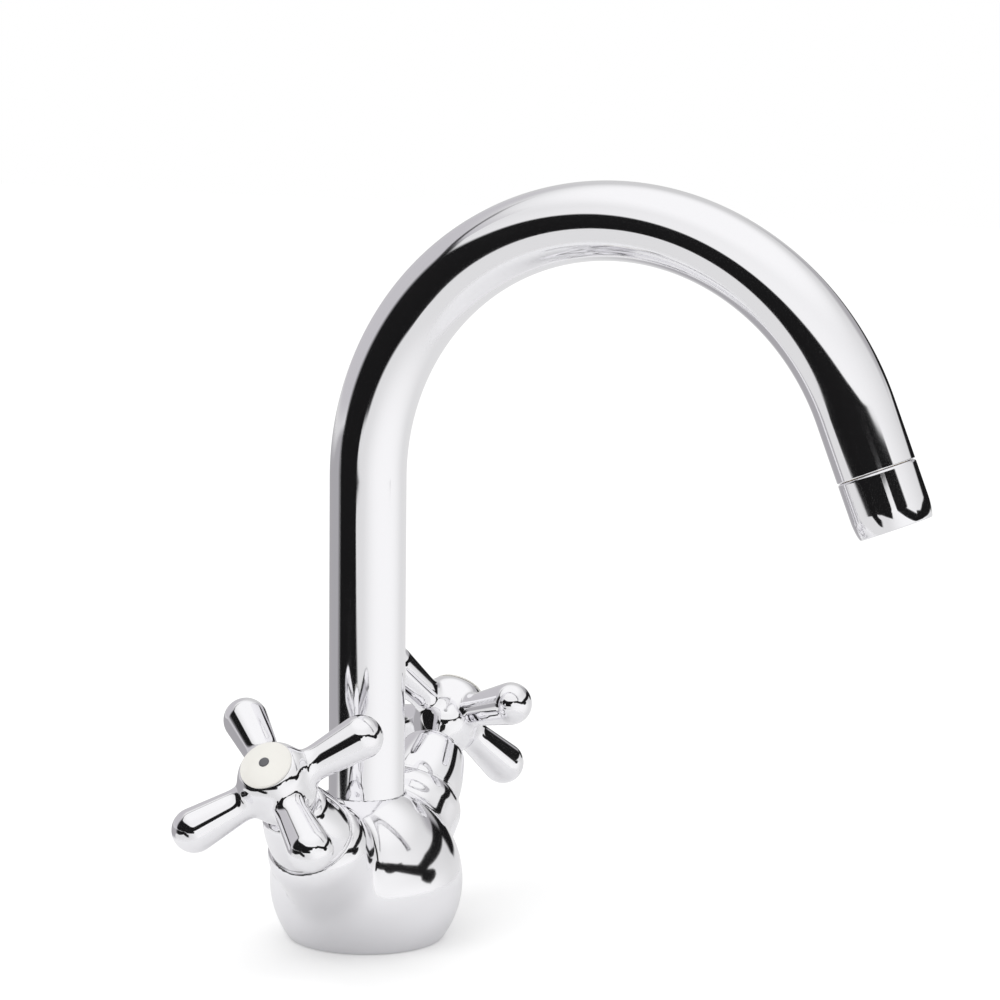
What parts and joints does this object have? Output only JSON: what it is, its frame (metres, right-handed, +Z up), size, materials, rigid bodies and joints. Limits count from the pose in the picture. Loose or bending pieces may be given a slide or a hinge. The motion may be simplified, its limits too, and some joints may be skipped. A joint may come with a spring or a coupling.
{
  "type": "basin mixer tap",
  "caption": "Two-handle basin mixer with a tall swan-neck swivel spout, a round body, angled valves, crosshead handles and an aerator.",
  "frame": {"origin": "centre of the round base on the deck, at the mouth of the stud hole", "axes": "+Z up, +X towards the user, the way the spout reaches at rest; the hot valve leans to -Y and the cold valve to +Y"},
  "size_m": [0.2271, 0.168, 0.2522],
  "materials": {
    "chrome": "polished chrome plate on brass",
    "brass": "turned brass",
    "steel": "plain stainless steel",
    "rubber": "moulded black rubber",
    "plastic": "moulded natural plastic",
    "ceramic": "lapped white ceramic",
    "ivory": "glossy ivory plastic",
    "mark": "glossy dark grey"
  },
  "bodies": {
    "tap_body": {"body": "chrome", "base_seal": "rubber", "spout_slip_ring": "plastic", "spout_stop_screw": "steel", "hot_seat_seal": "rubber", "hot_fixed_disc": "ceramic", "hot_valve_body": "brass", "hot_valve_oring": "rubber", "hot_bonnet": "chrome", "cold_seat_seal": "rubber", "cold_fixed_disc": "ceramic", "cold_valve_body": "brass", "cold_valve_oring": "rubber", "cold_bonnet": "chrome"},
    "spout": {"spout_tube": "chrome", "spout_spigot": "brass", "spout_orings": "rubber", "outlet_nozzle": "brass", "aerator_shell": "chrome", "aerator_washer": "rubber", "aerator_core": "plastic", "aerator_screen": "steel"},
    "hot_handle": {"hot_moving_disc": "ceramic", "hot_spindle": "brass", "hot_thrust_washer": "plastic", "hot_spindle_orings": "rubber", "hot_spindle_clip": "steel", "hot_crosshead": "chrome", "hot_handle_screw": "steel", "hot_cap": "ivory", "hot_cap_mark": "mark"},
    "cold_handle": {"cold_moving_disc": "ceramic", "cold_spindle": "brass", "cold_thrust_washer": "plastic", "cold_spindle_orings": "rubber", "cold_spindle_clip": "steel", "cold_crosshead": "chrome", "cold_handle_screw": "steel", "cold_cap": "ivory", "cold_cap_mark": "mark"}
  },
  "joints": [
    {"name": "spout_swivel", "type": "hinge", "parent": "tap_body", "child": "spout", "pos_m": [0, 0, 0.045], "axis": [0, 0, 1], "range_deg": [-60, 60]},
    {"name": "hot_turn", "type": "hinge", "parent": "tap_body", "child": "hot_handle", "pos_m": [0, -0.0594, 0.0631], "axis": [0, -0.7071, 0.7071], "range_deg": [0, 90]},
    {"name": "cold_turn", "type": "hinge", "parent": "tap_body", "child": "cold_handle", "pos_m": [0, 0.0594, 0.0631], "axis": [0, 0.7071, 0.7071], "range_deg": [-90, 0]}
  ]
}
